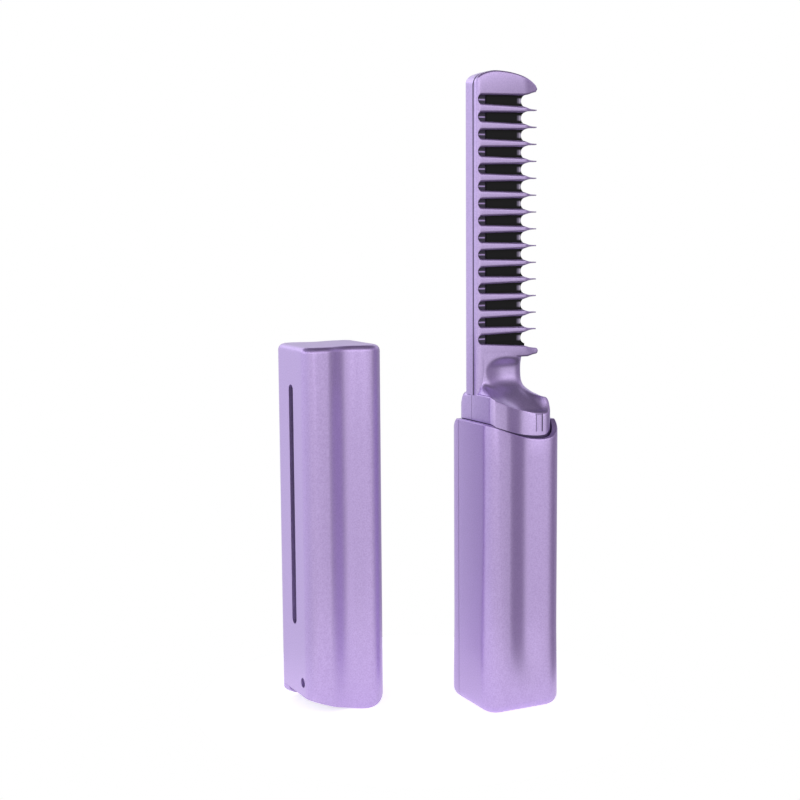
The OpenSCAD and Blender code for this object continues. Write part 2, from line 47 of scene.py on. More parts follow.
# ---- Sizes in millimetres ----
# Mostly as in the CAD source, but the foot is rounder and the seam at HEAD_SEAM_Y lies further back
HALF_W, HALF_D = 12.3, 12.2
TIGHT_R, WIDE_R, FOOT_TIGHT_R = 3.5, 5.0, 5.0
GROOVE_DEPTH, GROOVE_START, GROOVE_LOW, GROOVE_END = 1.8, -6.1, 0.8, 7.3
FAR_SETBACK = 0.4
GROOVE_FADE = (5.0, 26.0)
WALL, FOOT_T, FOOT_R = 1.6, 1.8, 3.0
HANDLE_H, EDGE_DIP = 82.5, 4.8
DIP_RISE, DIP_FALL = 1.3, 0.55
COLLAR_INSET, COLLAR_H = 1.9, 7.6
SHELL_SEAM_Y, SEAM_GAP = -5.3, 0.16
NECK_Z, HEAD_FOOT_Z = 93.7, 100.5
COMB_HALF_W, COMB_FRONT_Y, COMB_BACK_Y, COMB_SEAM_Y, HEAD_SEAM_Y = 10.2, -5.6, 1.6, -1.4, -0.3
TIP_X, SPINE_R, GAP_FLOOR_X, WAIST_X = -9.9, 1.5, 9.5, -5.2
GAP_HALF, WAIST_HALF, TIP_HALF = 1.2, 1.5, 0.16
LOW_GAP_Z, PITCH, GAPS, TOOTH_MID_Y = 105.4, 4.72, 15, -0.1
HIGH_GAP_Z = LOW_GAP_Z + (GAPS - 1) * PITCH
CROWN_Z = HIGH_GAP_Z + 8
BUTTON_X, BUTTON_Z, BUTTON_R, BUTTON_BACK_Y = 5.0, 49.4, 4.5, -7.9
LIGHT_X, TOP_LIGHT_Z, LIGHT_PITCH = 5.6, 71.4, 4.8
CAP_H, CAP_END_R, CAP_AT = 104.2, 1.8, (45.0, -22.0)
CAP_TOP_Z = HANDLE_H - EDGE_DIP + CAP_H
SLOT_W, SLOT_LEN, SLOT_Y, SLOT_Z = 3.2, 68.6, -1.5, 102.5
SNAP_Y, SNAP_Z, SNAP_R = -7.2, 86.7, 1.4
ARC_STEPS, FLANK_STEPS, FLAT_STEPS = 16, 16, 14


# ---- Cross-section and parting edge ----
def smooth_ramp(value, low, high):
    s = min(1.0, max(0.0, (value - low) / (high - low)))
    return s * s * (3 - 2 * s)


def mixed(a, b, s):
    return a + (b - a) * s


def circle(steps):
    """Angles of one full turn."""
    return [2 * math.pi * i / steps for i in range(steps)]


def half_turn(steps):
    return [math.pi * i / steps for i in range(steps + 1)]


def quarter(steps):
    return [math.pi / 2 * i / steps for i in range(steps + 1)]


def groove(x):
    """How far the wavy face lies behind the flat one."""
    if x <= GROOVE_START:
        return 0.0
    if x <= GROOVE_LOW:
        return GROOVE_DEPTH * (1 - math.cos(math.pi * (x - GROOVE_START) / (GROOVE_LOW - GROOVE_START))) / 2
    turn = min(1.0, (x - GROOVE_LOW) / (GROOVE_END - GROOVE_LOW))
    return FAR_SETBACK + (GROOVE_DEPTH - FAR_SETBACK) * (1 + math.cos(math.pi * turn)) / 2


def arc(cx, cy, r, start):
    angles = [math.radians(start + 90 * i / ARC_STEPS) for i in range(ARC_STEPS + 1)]
    return [(cx + r * math.cos(a), cy + r * math.sin(a)) for a in angles]


def section(inset=0.0, depth=1.0, tight=TIGHT_R):
    """Outline of handle and cap, which is the same after half a turn."""
    half = arc(-HALF_W + tight, -HALF_D + tight, tight - inset, 180)
    for start, end, first, last in ((GROOVE_START, GROOVE_LOW, 1, FLANK_STEPS),
                                    (GROOVE_LOW, GROOVE_END, 1, FLANK_STEPS - 1)):
        for i in range(first, last + 1):
            x = mixed(start, end, i / FLANK_STEPS)
            half.append((x, -HALF_D + depth * groove(x) + inset))
    low = -HALF_D + depth * FAR_SETBACK + WIDE_R
    half += arc(GROOVE_END, low, WIDE_R - inset, 270)
    half += [(HALF_W - inset, mixed(low, HALF_D - tight, i / FLAT_STEPS)) for i in range(1, FLAT_STEPS)]
    return half + [(-x, -y) for x, y in half]


def edge_drop(x, y):
    """How far the edge between handle and cap dips at a point of the section."""
    u = min(1.0, max(0.0, ((x if y < 0 else -x) + HALF_W) / (2 * HALF_W)))
    total = DIP_RISE + DIP_FALL
    peak = (DIP_RISE / total) ** DIP_RISE * (DIP_FALL / total) ** DIP_FALL
    return EDGE_DIP * u ** DIP_RISE * (1 - u) ** DIP_FALL / peak


EDGE_Z = [HANDLE_H - edge_drop(x, y) for x, y in section()]


def at_z(outline, z):
    return [(x, y, z) for x, y in outline]


def at_edge(outline, lift):
    return [(p[0], p[1], z + lift) for p, z in zip(outline, EDGE_Z)]


# ---- Mesh helpers ----
SHARP_ANGLE = 32


def new_piece(name, bm, angle=SHARP_ANGLE):
    bmesh.ops.recalc_face_normals(bm, faces=bm.faces[:])
    mesh = bpy.data.meshes.new(name)
    bm.to_mesh(mesh)
    bm.free()
    mesh.shade_smooth()
    mesh.set_sharp_from_angle(angle=math.radians(angle))
    piece = bpy.data.objects.new(name, mesh)
    bpy.context.scene.collection.objects.link(piece)
    return piece


def lofted(rings, ends=True, bm=None):
    """Skin through rings of equal length, in a new mesh or added to bm."""
    bm = bmesh.new() if bm is None else bm
    loops = [[bm.verts.new(Vector(p) * MM) for p in ring] for ring in rings]
    n = len(loops[0])
    for low, high in zip(loops, loops[1:]):
        for i in range(n):
            j = (i + 1) % n
            bm.faces.new((low[i], low[j], high[j], high[i]))
    if ends:
        bm.faces.new(loops[0][::-1])
        bm.faces.new(loops[-1])
    return bm


def keep_side(bm, y, front):
    """Cuts at depth y, keeps the front or back part and closes the cut."""
    normal = Vector((0, 1 if front else -1, 0))
    cut = bmesh.ops.bisect_plane(bm, geom=bm.verts[:] + bm.edges[:] + bm.faces[:], dist=1e-7,
                                 plane_co=Vector((0, y * MM, 0)), plane_no=normal, clear_outer=True)
    edges = [g for g in cut["geom_cut"] if isinstance(g, bmesh.types.BMEdge)]
    bmesh.ops.contextual_create(bm, geom=edges)
    return bm


def drum(name, x, y0, y1, z, r, steps=48):
    """Cylinder along Y."""
    return new_piece(name, lofted([[(x + r * math.cos(a), y, z + r * math.sin(a)) for a in circle(steps)]
                                   for y in (y0, y1)]))


def prism(name, outline, z0, z1):
    return new_piece(name, lofted([at_z(outline, z) for z in (z0, z1)]))


def strip(name, rows):
    """Open band of faces through rows of two points."""
    bm = bmesh.new()
    pairs = [[bm.verts.new(Vector(p) * MM) for p in row] for row in rows]
    for low, high in zip(pairs, pairs[1:]):
        bm.faces.new((low[0], low[1], high[1], high[0]))
    return new_piece(name, bm)


def capsule(length, width, steps=12):
    """Flat outline with round ends, along the first axis."""
    reach, r = (length - width) / 2, width / 2
    right = [(reach + r * math.cos(a), r * math.sin(a))
             for a in (math.pi * (i / steps - 0.5) for i in range(steps + 1))]
    return right + [(-a, -b) for a, b in right]


def carve(piece, cutters):
    """Takes the cutters' shapes out of the piece and removes the cutters."""
    for cutter in cutters:
        tool = piece.modifiers.new("cut", "BOOLEAN")
        tool.operation = "DIFFERENCE"
        tool.solver = "EXACT"
        tool.object = cutter
    bpy.context.view_layer.update()
    carved = bpy.data.meshes.new_from_object(piece.evaluated_get(bpy.context.evaluated_depsgraph_get()))
    piece.modifiers.clear()
    piece.data = carved
    for cutter in cutters:
        bpy.data.objects.remove(cutter)
    carved.shade_smooth()
    carved.set_sharp_from_angle(angle=math.radians(SHARP_ANGLE))


# ---- Finishes ----
def srgb(r, g, b):
    return [((c / 255 + 0.055) / 1.055) ** 2.4 if c > 10 else c / 255 / 12.92 for c in (r, g, b)] + [1.0]


def add_node(tree, kind, **settings):
    node = tree.nodes.new("ShaderNode" + kind)
    for name, value in settings.items():
        setattr(node, name, value)
    return node


def ranged(tree, low, high, **settings):
    """Map Range node that brings low and high to 0 and 1."""
    node = add_node(tree, "MapRange", **settings)
    node.inputs["From Min"].default_value = low
    node.inputs["From Max"].default_value = high
    return node


def eased_ramp(tree, stops):
    node = add_node(tree, "ValToRGB")
    ramp = node.color_ramp
    ramp.interpolation = "EASE"
    while len(ramp.elements) > 1:
        ramp.elements.remove(ramp.elements[0])
    for i, (position, colour) in enumerate(stops):
        stop = ramp.elements[0] if i == 0 else ramp.elements.new(position)
        stop.position = position
        stop.color = colour
    return node


def wire(tree, *links):
    """Links given as node, output, node, input."""
    for source, output, target, entry in links:
        tree.links.new(source.outputs[output], target.inputs[entry])


def plain(name, colour, rough=0.5, metal=0.0, coat=0.0, emission=None):
    mat = bpy.data.materials.new(name)
    mat.use_nodes = True
    shader = mat.node_tree.nodes["Principled BSDF"]
    shader.inputs["Base Color"].default_value = srgb(*colour)
    shader.inputs["Roughness"].default_value = rough
    shader.inputs["Metallic"].default_value = metal
    shader.inputs["Coat Weight"].default_value = coat
    if emission:
        shader.inputs["Emission Color"].default_value = srgb(*emission[0])
        shader.inputs["Emission Strength"].default_value = emission[1]
    return mat


def pearl(name, dark, light, rough, metal):
    """Satin pearlescent lacquer: a fine two-tone grain with a slight bump."""
    mat = plain(name, light, rough, metal)
    tree = mat.node_tree
    shader = tree.nodes["Principled BSDF"]
    place = add_node(tree, "TexCoord")
    grain = add_node(tree, "TexNoise")
    grain.inputs["Scale"].default_value = 2600
    grain.inputs["Detail"].default_value = 2
    tint = add_node(tree, "ValToRGB")
    for stop, position, colour in zip(tint.color_ramp.elements, (0.32, 0.68), (dark, light)):
        stop.position = position
        stop.color = srgb(*colour)
    bump = add_node(tree, "Bump")
    bump.inputs["Strength"].default_value = 0.12
    bump.inputs["Distance"].default_value = 0.05 * MM
    wire(tree, (place, "Object", grain, "Vector"), (grain, "Fac", tint, "Fac"),
         (tint, "Color", shader, "Base Color"), (grain, "Fac", bump, "Height"),
         (bump, "Normal", shader, "Normal"))
    return mat


# Painted highlight on the plates: its X range, its colour from the scalloped edge inwards, and its share
# across one pitch
PAINTED_GLINT_X = (-6, -2)
PAINTED_GLINT = [(0.28, (9, 8, 10)), (0.36, (196, 188, 208)), (0.5, (120, 112, 132)), (0.68, (12, 11, 13))]
PAINTED_GLINT_SHARE = [(0.3, 0), (0.42, 1), (0.58, 1), (0.7, 0)]


def plate_coating_painted_glint():
    """Black coating with a painted highlight in the middle of each gap, near the scalloped edge."""
    mat = plain("plate_coating_painted_glint", (9, 8, 10), 0.35)
    tree = mat.node_tree
    shader = tree.nodes["Principled BSDF"]
    shader.inputs["Specular IOR Level"].default_value = 0.15
    place, split = add_node(tree, "TexCoord"), add_node(tree, "SeparateXYZ")
    across = ranged(tree, *(x * MM for x in PAINTED_GLINT_X))
    # Painted highlight across X, kept to the middle of each gap by the pitch mask below
    painted_glint = eased_ramp(tree, [(position, srgb(*colour)) for position, colour in PAINTED_GLINT])
    pitches = ranged(tree, (LOW_GAP_Z - PITCH / 2) * MM, (LOW_GAP_Z + PITCH / 2) * MM, clamp=False)
    between = add_node(tree, "Math", operation="FRACT")
    share = eased_ramp(tree, [(position, (v, v, v, 1)) for position, v in PAINTED_GLINT_SHARE])
    both = add_node(tree, "MixRGB")
    both.inputs["Color1"].default_value = srgb(5, 4, 6)
    wire(tree, (place, "Object", split, 0),
         (split, "X", across, "Value"), (across, "Result", painted_glint, "Fac"), (painted_glint, "Color", both, "Color2"),
         (split, "Z", pitches, "Value"), (pitches, "Result", between, 0), (between, 0, share, "Fac"),
         (share, "Color", both, "Fac"), (both, "Color", shader, "Base Color"))
    return mat


LILAC = pearl("lilac_pearl", (178, 156, 206), (193, 171, 219), 0.36, 0.75)
LILAC_COMB = pearl("lilac_comb", (182, 162, 209), (197, 177, 222), 0.36, 0.8)
# Dark colour painted as shade along the collar's rim, beside the guide rib, in the seam and in the button's
# gap
SHADE = plain("painted_shade_dark", (66, 50, 88), 0.6)
ICON = plain("icon_print", (140, 118, 168), 0.5)
FINISHES = {
    "heated_plate": plate_coating_painted_glint(),
    "heater_ceramic": plain("heater_ceramic", (230, 230, 226), 0.6),
    "heater_film": plain("heater_film", (190, 118, 45), 0.35),
    "fuse_can": plain("fuse_can", (196, 196, 198), 0.3, 1.0),
    "sensor_bead": plain("sensor_bead", (96, 18, 18), 0.4),
    "lead_wire": plain("lead_wire", (170, 34, 28), 0.5),
    "board": plain("board", (30, 88, 56), 0.45),
    "chip": plain("chip", (18, 18, 20), 0.5),
    "screw": plain("screw", (190, 192, 196), 0.3, 1.0),
    "led": plain("led", (238, 238, 232), 0.4),
    "light_window": plain("light_window", (34, 22, 52), 0.2, 0.0, 0.4),
    "switch": plain("switch", (58, 58, 62), 0.5),
    "plunger": plain("plunger", (230, 224, 204), 0.5),
    "socket_shell": plain("socket_shell", (196, 198, 202), 0.28, 1.0),
    "socket_tongue": plain("socket_tongue", (20, 20, 22), 0.5),
    "cell": plain("cell_wrap", (62, 112, 164), 0.4),
    "pad": plain("foam_pad", (84, 84, 88), 0.9),
    "housing": LILAC, "comb_body": LILAC_COMB, "button": LILAC, "cap": LILAC,
}
slots = {part["node"]: part["material_slot"] for part in frame["record"]["subparts"]}
for node_name, node in nodes.items():
    node.data.materials.clear()
    node.data.materials.append(FINISHES[slots[node_name]])


def dress(piece, finish, body, slot_name, *replaced):
    piece.data.materials.clear()
    piece.data.materials.append(finish)
    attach(piece, body)
    if replaced:
        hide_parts(*replaced)
    return piece


# ---- Handle shells ----
RIM_R = 0.3
HANDLE_BAND, HANDLE_BAND_IN, INNER_BEVEL = 0.35, 0.08, 0.12
CORNER_EVEN_Z, BODY_TOP_Z = 60, 72
BODY_LEVELS = (32, 38, 44, 52, CORNER_EVEN_Z, BODY_TOP_Z)


def corner_r(z):
    return mixed(FOOT_TIGHT_R, TIGHT_R, smooth_ramp(z, FOOT_R, CORNER_EVEN_Z))


def handle_rings():
    """Up the outside from the rounded foot, over the rim and down inside to the floor of the foot."""
    rings = [at_z(section(FOOT_R * (1 - math.sin(a)), 0, FOOT_TIGHT_R), FOOT_R * (1 - math.cos(a)))
             for a in quarter(8)]
    for i in range(1, 15):
        z = mixed(*GROOVE_FADE, i / 14)
        rings.append(at_z(section(0, smooth_ramp(z, *GROOVE_FADE), corner_r(z)), z))
    rings += [at_z(section(0, 1, corner_r(z)), z) for z in BODY_LEVELS]
    rings.append(at_edge(section(), -RIM_R - HANDLE_BAND))
    rings += [at_edge(section(HANDLE_BAND_IN + RIM_R * (1 - math.cos(a))), -RIM_R * (1 - math.sin(a)))
              for a in quarter(4)]
    rings += [at_edge(section(WALL - INNER_BEVEL), 0), at_edge(section(WALL), -INNER_BEVEL),
              at_z(section(WALL), BODY_TOP_Z), at_z(section(WALL), FOOT_T)]
    return rings


PORT_W, PORT_D, PORT_PLAY, PORT_FRONT_Y = 8.94, 3.26, 0.36, -4.2
HOLE_END_Y, LIGHT_HOLE_R, BUTTON_PLAY = -6, 0.9, 0.3
port = capsule(PORT_W + PORT_PLAY, PORT_D + PORT_PLAY)
port_y = PORT_FRONT_Y + PORT_D / 2
for name, front in (("front_shell", True), ("back_shell", False)):
    seam = SHELL_SEAM_Y + (-SEAM_GAP if front else SEAM_GAP) / 2
    shell = new_piece(name + "_skin", keep_side(lofted(handle_rings()), seam, front))
    cutters = [prism("port", [(x, y + port_y) for x, y in port], -1, FOOT_T + 1)]
    if front:
        cutters.append(drum("button_hole", BUTTON_X, -HALF_D - 1, HOLE_END_Y, BUTTON_Z,
                            BUTTON_R + BUTTON_PLAY, 64))
        cutters += [drum("light_hole", LIGHT_X, -HALF_D - 1, HOLE_END_Y, TOP_LIGHT_Z - i * LIGHT_PITCH,
                         LIGHT_HOLE_R) for i in range(3)]
    carve(shell, cutters)
    dress(shell, LILAC, "handle", "housing", name)


# ---- Collar, shoulder and neck ----
NECK_X = (-7.1, COMB_HALF_W - 0.06)
NECK_MID = ((NECK_X[0] + NECK_X[1]) / 2, -2.0)
NECK_HALF_X, NECK_HALF_Y = (NECK_X[1] - NECK_X[0]) / 2, 3.64
NECK_ROUND, NECK_SQUARE = 0.75, 0.25
CORNER_DROP = 1.2
LIP, WIDE_LIP, BAND, BAND_IN = 0.4, 1.5, 0.4, 0.09
# How the shoulder climbs from the lip to the neck, and how far it is filled out on the way
CLIMB_EARLY, CLIMB_LATE, FILL = 0.57, 0.43, 0.5
# The scoop's centre, its depth in front and behind, and its reach to either side of the centre
DISH_X, DISH_Z, DISH_FRONT, DISH_BACK = 0.8, 96.6, 0.8, 1.7
DISH_HALF_X, DISH_HALF_Z = (10.0, 6.3), (6.2, 3.5)
# Along the outline of the section: how far the collar's top drops, and the radius of its lip
SHOULDER_DROP = [CORNER_DROP * smooth_ramp((HALF_W - x) / (2 * HALF_W), 0.72, 0.98)
                 * mixed(0.45, 1, smooth_ramp(y, -6, 7)) for x, y in section()]
LIPS = [mixed(LIP, WIDE_LIP, smooth_ramp((y if x < 0 else -y) - abs(abs(x) - HALF_W), -1.5, 6))
        for x, y in section()]


def neck_outline():
    """Squared off towards the spine and round below the teeth."""
    points = []
    for x, y in section(COLLAR_INSET):
        a = math.atan2((y - NECK_MID[1]) / NECK_HALF_Y, (x - NECK_MID[0]) / NECK_HALF_X)
        c, s = math.cos(a), math.sin(a)
        power = mixed(NECK_ROUND, NECK_SQUARE, smooth_ramp(c, -0.2, 0.3))
        points.append((NECK_MID[0] + NECK_HALF_X * math.copysign(abs(c) ** power, c),
                       NECK_MID[1] + NECK_HALF_Y * math.copysign(abs(s) ** power, s)))
    return points


def lip_ring(inset, turned):
    """A ring of the collar's rounded top edge, which is softest at the two wide corners."""
    ring = []
    outer, inner = section(inset), section(inset + 0.01)
    for (x, y), (ix, iy), z, drop, lip in zip(outer, inner, EDGE_Z, SHOULDER_DROP, LIPS):
        by = 100 * (BAND_IN + lip * (1 - math.cos(turned)))
        top = z + COLLAR_H - drop
        ring.append((x + (ix - x) * by, y + (iy - y) * by, top - lip * (1 - math.sin(turned))))
    return ring


def evened(points, reach):
    """Each point moved to the mean of its neighbours on the ring, three times over."""
    n = len(points)
    for _ in range(3):
        points = [tuple(sum(points[(i + d) % n][k] for d in range(-reach, reach + 1)) / (2 * reach + 1)
                        for k in (0, 1)) for i in range(n)]
    return points


def dished(points):
    """Presses a shallow scoop into both wide faces of the neck."""
    pressed = []
    for x, y, z in points:
        across, up = (x - DISH_X) / DISH_HALF_X[x > DISH_X], (z - DISH_Z) / DISH_HALF_Z[z > DISH_Z]
        if across ** 2 + up ** 2 < 1:
            off = y - NECK_MID[1]
            deep = (1 - (across ** 2 + up ** 2)) ** 1.2 * smooth_ramp(abs(off), 0, 3.2)
            y -= DISH_BACK * deep if off > 0 else -DISH_FRONT * deep
        pressed.append((x, y, z))
    return pressed


def relaxed(rings, passes):
    """Smooths a grid of rings and keeps its first and last."""
    n = len(rings[0])
    for _ in range(passes):
        rings = [rings[0]] + [[tuple((low[i][k] + high[i][k] + ring[i - 1][k] + ring[(i + 1) % n][k]) / 4
                                     for k in range(3)) for i in range(n)]
                              for low, ring, high in zip(rings, rings[1:], rings[2:])] + [rings[-1]]
    return rings


COLLAR_FOOT_Z = 74
COLLAR_SKIN_INSET = COLLAR_INSET + 0.2


def collar_rings():
    """Up the collar's wall, over its lip, across the shoulder and up the neck into the comb."""
    inset = COLLAR_SKIN_INSET
    rings = [at_z(section(inset), COLLAR_FOOT_Z), at_edge(section(inset), -1)]
    rings.append([(x, y, z - BAND) for (x, y), (_, _, z) in zip(section(inset), lip_ring(inset, 0))])
    rings += [lip_ring(inset, a) for a in quarter(6)]
    edge = [(x, y) for x, y, z in rings[-1]]
    neck = neck_outline()
    tops = [z + COLLAR_H - d for z, d in zip(EDGE_Z, SHOULDER_DROP)]
    soft, soft_tops = evened(edge, 12), evened([(z, 0) for z in tops], 26)
    top = [rings.pop()]
    for i in range(1, 25):
        s = i / 24
        turn, ease = math.sin(math.pi / 2 * s), smooth_ramp(s, 0, 0.45)
        climb = CLIMB_EARLY * turn + CLIMB_LATE * (1 - math.cos(math.pi / 2 * s)) ** 2.5
        ring = []
        for e, se, n, z, sz in zip(edge, soft, neck, tops, soft_tops):
            x, y = (mixed(mixed(e[k], se[k], ease), n[k], turn) for k in (0, 1))
            ring.append((x, y, mixed(mixed(z, max(z, sz[0]) + FILL, ease), NECK_Z, climb)))
        top.append(ring)
    top += [at_z(neck, mixed(NECK_Z, HEAD_FOOT_Z + 1, i / 20)) for i in range(1, 21)]
    return rings + relaxed([dished(ring) for ring in relaxed(top, 34)], 3)


# ---- Comb head ----
LOW_GAP_EXTRA = 0.7
HEAD_EDGE_R = 0.6


def head_outline():
    """Closed outline in X and Z: up the spine, over the crown, down along the teeth and round the nub."""
    w, t, peak = COMB_HALF_W, -TIP_X, COMB_HALF_W - 6.6
    points = [(w, NECK_Z - 4)]
    for i in range(11):
        a = math.radians(75 * i / 10)
        points.append((w - 3.6 * (1 - math.cos(a)), CROWN_Z - 4.3 + 3.6 * math.sin(a)))
    points += [(peak + 3.9 * (1 - i / 5), CROWN_Z - 0.8 * (1 - i / 5) ** 2) for i in range(1, 5)]
    for i in range(19):
        a = math.radians(90 + 68 * i / 18)
        points.append((peak + 14 * math.cos(a), CROWN_Z - 5.8 * (1 - math.sin(a))))
    points += [(-t, CROWN_Z - 4.6), (-t + 0.5, CROWN_Z - 5.4), (-t + 1.7, CROWN_Z - 5.7),
               (-t + 3.2, CROWN_Z - 6.2)]
    root = PITCH / 2 - WAIST_HALF
    for k in range(GAPS - 1, -1, -1):
        z = LOW_GAP_Z + k * PITCH
        points.append((WAIST_X, z + WAIST_HALF))
        points += [(GAP_FLOOR_X - GAP_HALF * (1 - math.sin(a)), z + GAP_HALF * math.cos(a))
                   for a in half_turn(10)]
        points.append((WAIST_X, z - WAIST_HALF - (0 if k else LOW_GAP_EXTRA)))
        if k:
            middle = z - PITCH / 2
            flare = [(mixed(WAIST_X, -t, i / 8), mixed(TIP_HALF, root, (1 - i / 8) ** 2.4))
                     for i in range(1, 9)]
            points += [(x, middle + h) for x, h in flare] + [(x, middle - h) for x, h in reversed(flare)]
    nub = -t + 0.2, LOW_GAP_Z - 3.95
    points += [(-t + 3.8, LOW_GAP_Z - 2.35), (-t + 2.4, LOW_GAP_Z - 2.8), (-t + 1.2, LOW_GAP_Z - 3.0)]
    points += [(nub[0] - 0.7 * math.sin(a), nub[1] + 0.85 * math.cos(a)) for a in half_turn(8)]
    points += [(-t + 1.2, LOW_GAP_Z - 4.95), (-6.8, HEAD_FOOT_Z - 0.5), (w - 5, HEAD_FOOT_Z - 0.5),
               (w - 3.6, HEAD_FOOT_Z - 1.2), (w - 3, HEAD_FOOT_Z - 2.6), (w - 3, NECK_Z - 4)]
    return points


def shrunk(outline, by):
    """Outline moved inwards, with short mitres at sharp points and less at the thin teeth."""
    moved = []
    n = len(outline)
    for i in range(n):
        before, here, after = (Vector(outline[(i + d) % n]) for d in (-1, 0, 1))
        a, b = (here - before).normalized(), (after - here).normalized()
        na, nb = Vector((-a.y, a.x)), Vector((-b.y, b.x))
        mid = (na + nb) / max(0.5, 1 + na.dot(nb))
        thin = here.x < WAIST_X - 0.1 and LOW_GAP_Z < here.y < HIGH_GAP_Z
        moved.append(tuple(here + mid * by * (0.25 if thin else 1)))
    return moved


def head_rings():
    """The outline from front to back, with both edges rounded."""
    base, soft = head_outline(), HEAD_EDGE_R
    rounding = [(soft * (1 - math.sin(a)), soft * (1 - math.cos(a))) for a in quarter(3)]
    steps = [(COMB_FRONT_Y + depth, inset) for depth, inset in reversed(rounding)]
    steps += [(COMB_SEAM_Y, 0), (HEAD_SEAM_Y, 0)]
    steps += [(COMB_BACK_Y - depth, inset) for depth, inset in rounding]
    return [[(px, y, pz) for px, pz in shrunk(base, inset)] for y, inset in steps]


# From where to where towards the tips, and by what share
TOOTH_TAPER, END_TAPER = (5.4, 9.2, 0.75), (4.5, 10, 0.45)


def shaped_head(bm):
    """Draws the ends of teeth, crown and guard in towards the middle of the comb's depth."""
    bmesh.ops.triangulate(bm, faces=[f for f in bm.faces if len(f.verts) > 4])
    for v in bm.verts:
        x, y, z = v.co / MM
        start, end, share = TOOTH_TAPER if LOW_GAP_Z < z < HIGH_GAP_Z else END_TAPER
        v.co.y = mixed(y, TOOTH_MID_Y, smooth_ramp(-x, start, end) * share) * MM
    return bm


def spine_corners():
    """Cutters that round the comb's back along its two long edges."""
    x, cutters = COMB_HALF_W - SPINE_R, []
    for y, way in ((COMB_FRONT_Y + SPINE_R, -1), (COMB_BACK_Y - SPINE_R, 1)):
        curve = [(x + SPINE_R * math.cos(a), y + way * SPINE_R * math.sin(a)) for a in quarter(10)]
        cutters.append(prism("spine_edge", curve + [(x, y + way * 3), (x + 3, y + way * 3), (x + 3, y)],
                             NECK_Z - 6, CROWN_Z + 2))
    return cutters


# Room for the plates and the heater between the frames
POCKET = [(-6.2, -4.4), (6.4, -4.4), (6.4, 0.3), (-6.2, 0.3)]
for name, front in (("comb_front_frame", True), ("comb_back_frame", False)):
    gap = -SEAM_GAP / 2 if front else SEAM_GAP / 2
    head_mesh = shaped_head(keep_side(lofted(head_rings()), HEAD_SEAM_Y + gap, front))
    head = new_piece(name + "_head", head_mesh, 40)
    carve(head, [prism("pocket", POCKET, LOW_GAP_Z - 2.5, HIGH_GAP_Z + 2.5)] + spine_corners())
    dress(head, LILAC_COMB, "handle", "comb_body", name)
    neck = new_piece(name + "_collar", keep_side(lofted(collar_rings()), COMB_SEAM_Y + gap, front), 60)
    dress(neck, LILAC_COMB, "handle", "comb_body", name)


# ---- Small things on collar and comb ----
def collar_face(xs):
    """Points on the wavy back of the collar's wall."""
    return [(x, HALF_D - groove(-x) - COLLAR_SKIN_INSET) for x in xs]


# Guide rib on the back of the collar, with a painted shade line along each side
RIB_X, RIB_Z, RIB_H, RIB_OUT, RIB_BEVEL = (-6.3, -4.7), HANDLE_H - 3, 5.0, 0.16, 0.3
rib = []
for z, out in ((RIB_Z, RIB_OUT), (RIB_Z + RIB_H - RIB_BEVEL, RIB_OUT), (RIB_Z + RIB_H, 0)):
    face = collar_face([mixed(*RIB_X, i / 8) for i in range(9)])
    rib.append([(x, y + (out if 0 < i < 8 else 0), z) for i, (x, y) in enumerate(face)]
               + [(x, y - 0.4, z) for x, y in reversed(face)])
dress(new_piece("guide_rib", lofted(rib), 20), LILAC_COMB, "handle", "comb_body")
# Painted shade: thin dark strips where the rib's sides would lie in shadow
for name, ends in (("rib_shade_outer", (-6.55, -6.25)), ("rib_shade_inner", (-4.75, -4.6))):
    face = collar_face(ends)
    line = [[(x, y + 0.03, z) for x, y in face] + [(x, y - 0.3, z) for x, y in reversed(face)]
            for z in (RIB_Z, RIB_Z + RIB_H)]
    dress(new_piece(name, lofted(line)), SHADE, "handle", "comb_body")

# Painted shadow line where the collar meets the rim, a dark band that is taller where the edge dips
shade_out, shade_in = section(COLLAR_INSET + 0.17), section(COLLAR_INSET + 0.4)
shade_top = [(x, y, z + 0.1 + 0.6 * (HANDLE_H - z) / EDGE_DIP) for (x, y), z in zip(shade_out, EDGE_Z)]
rim_shade = lofted([at_edge(shade_in, -1.2), at_edge(shade_out, -1), shade_top,
               [(x, y, top[2] + 0.1) for (x, y), top in zip(shade_in, shade_top)]])
dress(new_piece("collar_rim_shade", rim_shade), SHADE, "handle", "comb_body")


def seam_block(x0, x1, half_d):
    """Flat outline of a block that reaches as far to the front of the parting as to the back."""
    return [(x, COMB_SEAM_Y + side * half_d) for x, side in ((x0, -1), (x1, -1), (x1, 1), (x0, 1))]


# Web at the inner end of each gap, coloured dark as painted shade, and a light rib across it
web = prism("gap_web", seam_block(6.35, 9.7, 1.2), LOW_GAP_Z - 2, HIGH_GAP_Z + 2)
# The web's near-black colour is painted shade inside the gap's closed end
dress(web, plain("gap_end_shade", (40, 28, 56), 0.5), "handle", "comb_body")
ribs = bmesh.new()
for k in range(GAPS):
    lofted([at_z(seam_block(6.6, 8.6, 1.3), LOW_GAP_Z + k * PITCH + side) for side in (-0.2, 0.2)], bm=ribs)
dress(new_piece("gap_ribs", ribs), plain("gap_rib", (168, 146, 196), 0.4, 0.3), "handle", "comb_body")

# Shadow line of the seam, just proud of the spine and of the crown's round shoulder
SEAM_HALF, SEAM_PROUD, SEAM_POINTS = 0.33, 0.012, 16
seam_rows = [[(x, HEAD_SEAM_Y + side, z) for side in (-SEAM_HALF, SEAM_HALF)]
             for x, z in shrunk(head_outline(), -SEAM_PROUD)[:SEAM_POINTS]]
dress(strip("seam_line", seam_rows), SHADE, "handle", "comb_body")


# ---- Cap ----
CAP_BEVEL, CAP_BODY_Z = 0.15, HANDLE_H + 4


